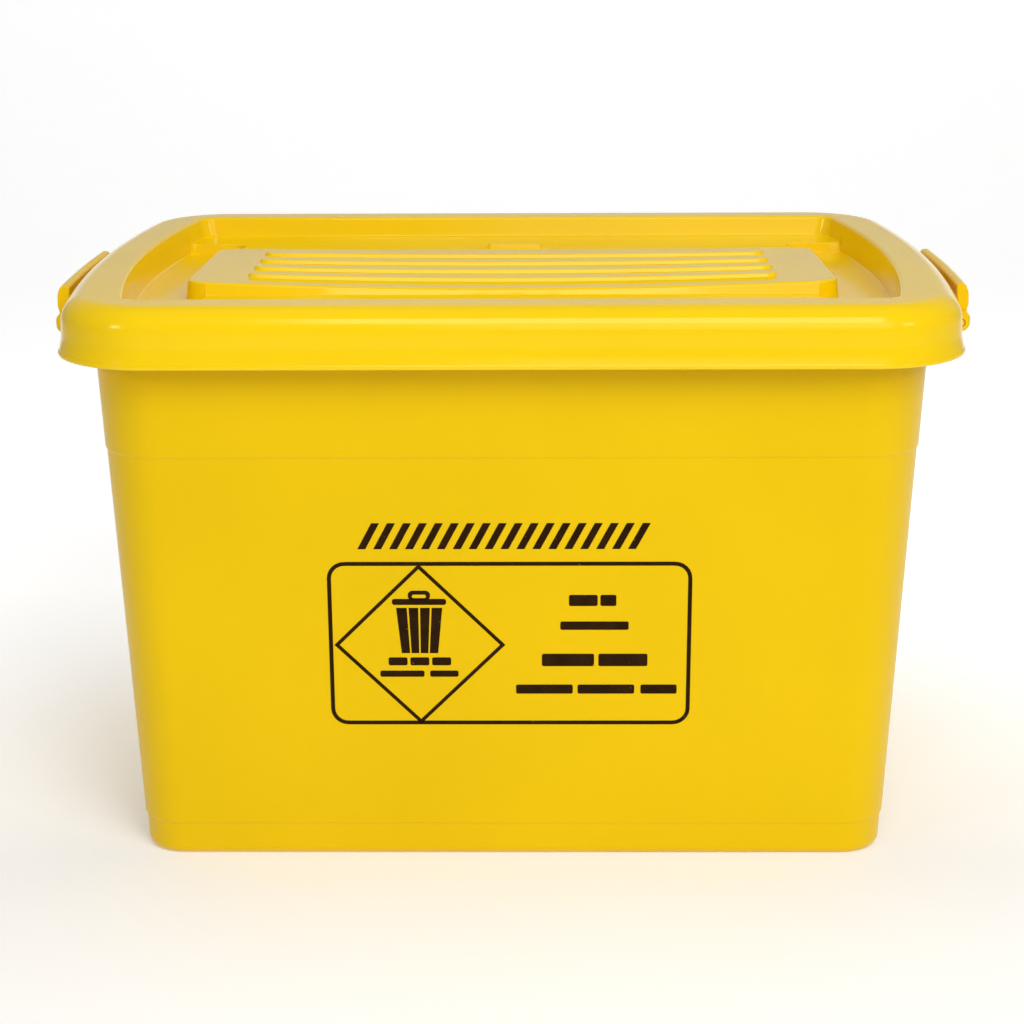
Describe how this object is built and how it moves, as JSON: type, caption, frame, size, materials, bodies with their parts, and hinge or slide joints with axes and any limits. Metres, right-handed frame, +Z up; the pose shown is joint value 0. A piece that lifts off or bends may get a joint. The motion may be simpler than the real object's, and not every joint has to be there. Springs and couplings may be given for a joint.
{
  "type": "waste transfer box",
  "caption": "Rigid lidded waste box: tapered moulded tub, lift-off lid with recessed top and raised ribbed panel, and a swinging latch at each end.",
  "frame": {"origin": "middle of the footprint, on the surface the box stands on", "axes": "+X along the long side, +Y from the printed front to the back, +Z up"},
  "size_m": [0.5968, 0.4106, 0.367],
  "materials": {
    "tub": "semi-matte injection-moulded polypropylene",
    "lid": "smooth glossy injection-moulded polypropylene",
    "latch": "smooth glossy injection-moulded polypropylene"
  },
  "bodies": {
    "tub": {"tub": "tub"},
    "lid": {"lid": "lid"},
    "latch_left": {"latch_left": "latch"},
    "latch_right": {"latch_right": "latch"}
  },
  "joints": [
    {"name": "lid_lift", "type": "slide", "parent": "tub", "child": "lid", "axis": [0, 0, 1], "range_m": [0, 0.2]},
    {"name": "latch_left_swing", "type": "hinge", "parent": "tub", "child": "latch_left", "pos_m": [-0.292, 0, 0.333], "axis": [0, -1, 0], "range_deg": [0, 135]},
    {"name": "latch_right_swing", "type": "hinge", "parent": "tub", "child": "latch_right", "pos_m": [0.292, 0, 0.333], "axis": [0, 1, 0], "range_deg": [0, 135]}
  ]
}
